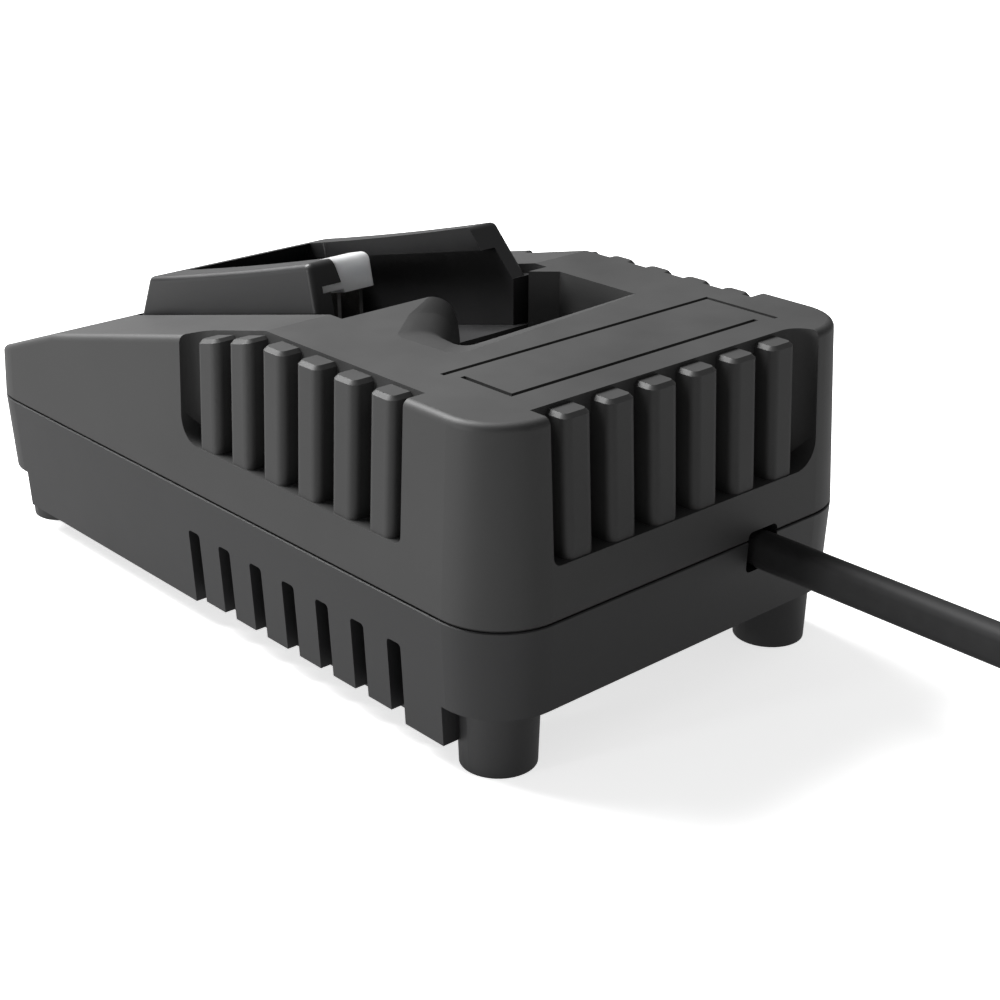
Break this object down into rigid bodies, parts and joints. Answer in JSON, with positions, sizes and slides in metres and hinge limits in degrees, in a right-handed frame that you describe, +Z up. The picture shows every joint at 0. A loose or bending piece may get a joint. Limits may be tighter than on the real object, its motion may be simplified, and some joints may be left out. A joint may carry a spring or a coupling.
{
  "type": "power tool battery charger",
  "caption": "Sloping bench charger for slide-on tool batteries: ribbed two-part housing on short feet, overhanging rail bay with contact blades, flat mains cord and plug.",
  "frame": {"origin": "centre of the footprint on the plane of the feet's undersides, cord left out", "axes": "+Z up, +Y towards the rear end where the cord leaves, +X to the side whose rail carries the indicator"},
  "size_m": [0.0904, 0.3475, 0.0615],
  "materials": {
    "housing_plastic": "fine-grained moulded black plastic",
    "cradle_plastic": "fine-grained moulded black plastic",
    "light_pipe_plastic": "milky translucent plastic",
    "led_plastic": "clear lens",
    "contact_metal": "nickel-plated blades",
    "block_plastic": "moulded",
    "screw_steel": "zinc-plated",
    "board_laminate": "solder mask",
    "ferrite": "sintered",
    "winding_tape": "wound with polyester tape",
    "copper_wire": "enamelled",
    "capacitor_sleeve": "shrunk sleeve",
    "sink_aluminium": "extruded",
    "component_epoxy": "moulded",
    "film_capacitor_box": "moulded",
    "fuse_ceramic": "glazed",
    "varistor_coat": "dipped",
    "wire_insulation": "extruded",
    "cord_sheath": "extruded flexible sheath",
    "tie_plastic": "woven strap",
    "plug_plastic": "moulded on the cord",
    "pin_metal": "nickel-plated brass"
  },
  "bodies": {
    "root": {"upper_housing": "housing_plastic", "lower_housing": "housing_plastic", "battery_cradle": "cradle_plastic", "light_pipe": "light_pipe_plastic", "indicator_led": "led_plastic", "led_leads": "screw_steel", "terminal_block": "block_plastic", "terminal_blades": "contact_metal", "terminal_screws": "screw_steel", "housing_screws": "screw_steel", "circuit_board": "board_laminate", "board_screws": "screw_steel", "transformer_core": "ferrite", "transformer_winding": "winding_tape", "choke_core": "ferrite", "choke_windings": "copper_wire", "bulk_capacitor": "capacitor_sleeve", "output_capacitors": "capacitor_sleeve", "heat_sink": "sink_aluminium", "power_transistor": "component_epoxy", "rectifier_diode": "component_epoxy", "bridge_rectifier": "component_epoxy", "line_capacitor": "film_capacitor_box", "mains_fuse": "fuse_ceramic", "surge_varistor": "varistor_coat", "optocoupler": "component_epoxy", "control_chip": "component_epoxy", "mains_wires": "wire_insulation", "output_wires": "wire_insulation", "cord_clamp": "block_plastic", "clamp_screws": "screw_steel", "cord_inner_end": "cord_sheath", "power_cord": "cord_sheath", "cord_coil": "cord_sheath", "cord_tail": "cord_sheath", "cord_tie": "tie_plastic", "plug_body": "plug_plastic", "plug_pins": "pin_metal"}
  },
  "joints": []
}
